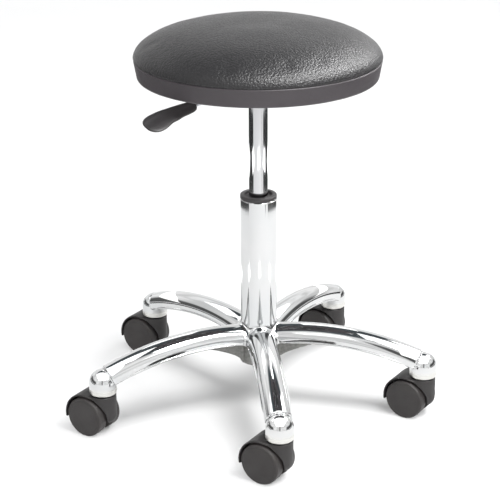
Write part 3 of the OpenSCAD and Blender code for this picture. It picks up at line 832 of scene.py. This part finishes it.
def foam():
    s = Shader("open_cell_foam")
    pores = s.cells(700)
    return s.set(Base_Color=s.mix(pores, rgb(0.80, 0.74, 0.48), rgb(0.55, 0.50, 0.30)), Roughness=0.95,
                 Normal=s.bump(pores, 0.0004, 0.8))


MATERIALS = {
    "polished": polished(),
    "chrome": chrome(),
    "black_plastic": moulded("black_plastic", (0.024, 0.022, 0.023), (0.038, 0.035, 0.036), 0.38, 0.52),
    "rubber": rubber(),
    "steel": zinc("zinc_plated_steel", (0.36, 0.37, 0.39), (0.58, 0.59, 0.60)),
    "painted_steel": moulded("powder_coat", (0.018, 0.018, 0.019), (0.035, 0.035, 0.036), 0.45, 0.6,
                             grain=900, depth=0.0002),
    "brass": zinc("yellow_zinc", (0.52, 0.42, 0.20), (0.74, 0.62, 0.34)),
    # The caster hoods low down get a darker grey than the seat pan up high: partly the plastic's own tone,
    # partly painted shade
    "grey_plastic": moulded("grey_plastic", (0.0165, 0.0148, 0.0148), (0.0235, 0.0208, 0.0208), 0.46, 0.60,
                            upper_unshaded=(0.047, 0.040, 0.045)),
    "wheel_plastic": moulded("wheel_nylon", (0.021, 0.018, 0.018), (0.0295, 0.0255, 0.0245), 0.48, 0.64),
    "plywood": plywood(),
    "foam": foam(),
    "vinyl": vinyl(),
}
SLOT_OF = {row["node"]: row["material_slot"] for row in frame["record"]["subparts"]}

for name, obj in frame["nodes"].items():
    for socket in obj.material_slots:
        socket.material = MATERIALS[SLOT_OF[name]]


def dress(obj, slot, body, *nodes):
    """Gives a new piece its finish, the body it rides on and the CAD nodes it stands for."""
    obj.data.materials.clear()
    obj.data.materials.append(MATERIALS[slot])
    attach(obj, body)
    if nodes:
        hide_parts(*nodes)


dress(star_base, "polished", "base", "base_casting")
dress(column_ring, "black_plastic", "base", "guide_bush")
dress(chrome_tube, "chrome", "seat", "gas_cylinder")
dress(seat_pan, "grey_plastic", "seat", "seat_shell")
dress(cushion, "vinyl", "seat", "seat_cover", "seat_foam")
dress(lever_blade, "black_plastic", "lever", "lever_paddle")
for k in CASTERS:
    dress(hoods[k - 1], "grey_plastic", f"caster_{k}", f"caster_{k}_hood")
    for wheel, word in zip(wheels[2 * k - 2:2 * k], ("left", "right")):
        dress(wheel, "wheel_plastic", f"caster_{k}_{word}", f"caster_{k}_wheel_{word}")

# ---------------------------------------------------------------- studio

FLOOR_HALF = 40.0
floor_mesh = bpy.data.meshes.new("floor")
floor_mesh.from_pydata([(-FLOOR_HALF, -FLOOR_HALF, 0), (FLOOR_HALF, -FLOOR_HALF, 0),
                        (FLOOR_HALF, FLOOR_HALF, 0), (-FLOOR_HALF, FLOOR_HALF, 0)], [], [(0, 1, 2, 3)])
floor = bpy.data.objects.new("floor", floor_mesh)
scene.collection.objects.link(floor)
paper = Shader("white_paper")
floor_mesh.materials.append(paper.set(
    Base_Color=paper.mix(paper.noise(3, 3, 0.5), rgb(0.77, 0.77, 0.77), rgb(0.79, 0.79, 0.79)),
    Roughness=0.9, Specular_IOR_Level=0.1, Normal=paper.bump(paper.noise(900, 2, 0.5), 0.0001, 0.1)))


def area_light(name, place, aim, size, power, diffuse=True):
    light = bpy.data.lights.new(name, "AREA")
    light.shape = "RECTANGLE"
    light.size, light.size_y = size
    light.energy = power
    obj = bpy.data.objects.new(name, light)
    obj.location = place
    obj.rotation_euler = (Vector(aim) - Vector(place)).to_track_quat("-Z", "Y").to_euler()
    obj.visible_camera = False
    obj.visible_diffuse = diffuse
    scene.collection.objects.link(obj)


area_light("front_softbox", (1.15, -0.95, 2.25), (0, 0, 0.5), (1.3, 0.9), 30)
area_light("right_softbox", (1.43, 1.03, 1.87), (0, 0, 0.55), (0.8, 0.8), 13)
area_light("front_gleam", (1.05, -1.00, 2.20), (0, 0, 0.5), (0.9, 0.5), 82, diffuse=False)
area_light("right_gleam", (1.43, 0.75, 1.80), (0, 0, 0.55), (0.6, 0.6), 42, diffuse=False)
KEY_FROM = Vector((0.245, -0.26, 0.93))
key = bpy.data.lights.new("key", "SUN")
key.energy = 2.0
key.angle = math.radians(24)
key_lamp = bpy.data.objects.new("key", key)
key_lamp.rotation_euler = KEY_FROM.to_track_quat("Z", "Y").to_euler()
key_lamp.visible_glossy = False
scene.collection.objects.link(key_lamp)
blockers = bpy.data.collections.new("key_blockers")
blockers.objects.link(star_base)
key_lamp.light_linking.blocker_collection = blockers


PATCH_NEAR, PATCH_FAR = 0.91, 2.2


def reflected_only(obj):
    """Puts a stage piece in the scene that only reflections see."""
    obj.visible_camera = obj.visible_shadow = obj.visible_diffuse = False
    scene.collection.objects.link(obj)


def dark_reflection_patch(name, start, stop, grey):
    """A grey sector lying on the floor that only reflections see: a painted dark reflection in the metal. Its
    angles run round from the camera's side.
    """
    patch = Shader(name)
    light = grey * 1.3
    patch.set(Base_Color=patch.mix(patch.noise(60), rgb(grey, grey, grey), rgb(light, light, light)),
              Roughness=1.0, Specular_IOR_Level=0.0)
    turns = [math.radians(start + (stop - start) * n / 12) for n in range(13)]
    points = [(r * math.sin(a), -r * math.cos(a), 0.001) for a in turns for r in (PATCH_NEAR, PATCH_FAR)]
    mesh = bpy.data.meshes.new(name)
    mesh.from_pydata(points, [], [(2 * n, 2 * n + 1, 2 * n + 3, 2 * n + 2) for n in range(12)])
    mesh.materials.append(patch.material)
    reflected_only(bpy.data.objects.new(name, mesh))


# Dark sectors at both sides and a grey strip at the right, seen only in reflections: painted dark reflections
# in the polished metal and chrome
dark_reflection_patch("painted_dark_reflection_left", -60, -150, 0.03)
dark_reflection_patch("painted_dark_reflection_right", 60, 150, 0.03)
dark_reflection_patch("painted_grey_reflection_right", 43, 47, 0.10)

# A white glow for cards that are no lamps: painted highlights in the metal
glow = bpy.data.materials.new("painted_glint_card")
glow.use_nodes = True
glow_inputs = glow.node_tree.nodes["Principled BSDF"].inputs
glow_inputs["Emission Color"].default_value = rgb(1, 1, 1)
glow_inputs["Emission Strength"].default_value = 1.15
HIGH_CARD_Z, BALL_CARD_Z = 0.32, 0.126


def painted_glint_card(name, x0, x1, y0, y1, z):
    """A level card that glows white and that only reflections see: a painted highlight on the metal beneath
    it.
    """
    mesh = bpy.data.meshes.new(name)
    mesh.from_pydata([(x0, y0, z), (x0, y1, z), (x1, y1, z), (x1, y0, z)], [], [(0, 1, 2, 3)])
    mesh.materials.append(glow)
    reflected_only(bpy.data.objects.new(name, mesh))


# Over each arm's end, a higher and a lower glowing card that only reflections see paint highlights onto the
# arm and its ball
for k in CASTERS:
    x, y = STEMS[k - 1][0] * MM, STEMS[k - 1][1] * MM
    painted_glint_card(f"painted_glint_card_{k}", x - 0.075, x + 0.075, y - 0.095, y + 0.055, HIGH_CARD_Z)
    painted_glint_card(f"ball_glint_card_{k}", x - 0.034, x + 0.034, y - 0.062, y + 0.004, BALL_CARD_Z)

world = bpy.data.worlds.new("studio")
scene.world = world
world.use_nodes = True
tree = world.node_tree
tree.nodes.clear()
direction = tree.nodes.new("ShaderNodeTexCoord").outputs["Generated"]
ceiling = tree.nodes.new("ShaderNodeVectorMath")
ceiling.operation = "DOT_PRODUCT"
tree.links.new(direction, ceiling.inputs[0])
ceiling.inputs[1].default_value = (0.0, 0.174, 0.985)
height_ramp = tree.nodes.new("ShaderNodeValToRGB")
WALL_LIGHT = (1.12, 1.12, 1.12)
stops = [(0.0, WALL_LIGHT), (0.74, WALL_LIGHT), (0.79, (0.09, 0.105, 0.115)), (1.0, (0.11, 0.125, 0.135))]
ramp = height_ramp.color_ramp
while len(ramp.elements) < len(stops):
    ramp.elements.new(0.5)
for element, (at, level) in zip(ramp.elements, stops):
    element.position = at
    element.color = (*level, 1)
tree.links.new(ceiling.outputs["Value"], height_ramp.inputs["Fac"])


def world_node(kind, *values, **settings):
    """A node of the world's shader: its settings, then its inputs in order."""
    made = tree.nodes.new(kind)
    for setting, value in settings.items():
        setattr(made, setting, value)
    for socket, value in zip(made.inputs, values):
        if isinstance(value, bpy.types.NodeSocket):
            tree.links.new(value, socket)
        elif value is not None:
            socket.default_value = value
    return made.outputs[0]


def world_step(value, low, high):
    """0 below low, 1 above high, and the other way round when low is the greater."""
    return world_node("ShaderNodeMapRange", value, low, high, 0.0, 1.0)


split = tree.nodes.new("ShaderNodeSeparateXYZ")
tree.links.new(direction, split.inputs[0])
side = world_node("ShaderNodeMath", split.outputs["X"], operation="ABSOLUTE")
# Dark flags stand low at both sides, and the camera's stand in front
flags = world_node("ShaderNodeMath", world_step(side, 0.74, 0.84),
                   world_step(split.outputs["Z"], 0.36, 0.26), operation="MULTIPLY")
stand = world_node("ShaderNodeMath", world_step(side, 0.09, 0.06),
                   world_step(split.outputs["Y"], -0.7, -0.8), operation="MULTIPLY")
dark = world_node("ShaderNodeMath", flags, stand, operation="MAXIMUM")
stretched = world_node("ShaderNodeVectorMath", direction, (1.0, 1.0, 3.2), operation="MULTIPLY")
streaks = world_node("ShaderNodeTexNoise", stretched, None, 2.4, 3.0, 0.5)
lit = world_node("ShaderNodeMapRange", streaks, 0.40, 0.58, 0.74, 1.06)
strength = world_node("ShaderNodeMath", lit, world_node("ShaderNodeMapRange", dark, 0.0, 1.0, 1.0, 0.12),
                      operation="MULTIPLY")
background = tree.nodes.new("ShaderNodeBackground")
tree.links.new(height_ramp.outputs["Color"], background.inputs["Color"])
tree.links.new(strength, background.inputs["Strength"])
world_output = tree.nodes.new("ShaderNodeOutputWorld")
tree.links.new(background.outputs["Background"], world_output.inputs["Surface"])

CAMERA_PLACE = (0.0170, -2.1711, 1.0864)
CAMERA_DOWN = 21.07  # degrees below level
lens = bpy.data.cameras.new("camera")
lens.lens = 112.6
lens.sensor_width = 36.0
lens.shift_x = -0.040
lens.shift_y = -0.001
lens.clip_end = 100
camera = bpy.data.objects.new("camera", lens)
camera.location = CAMERA_PLACE
camera.rotation_euler = (math.radians(90 - CAMERA_DOWN), 0, 0)
scene.collection.objects.link(camera)
scene.camera = camera
scene.view_settings.view_transform = "Standard"
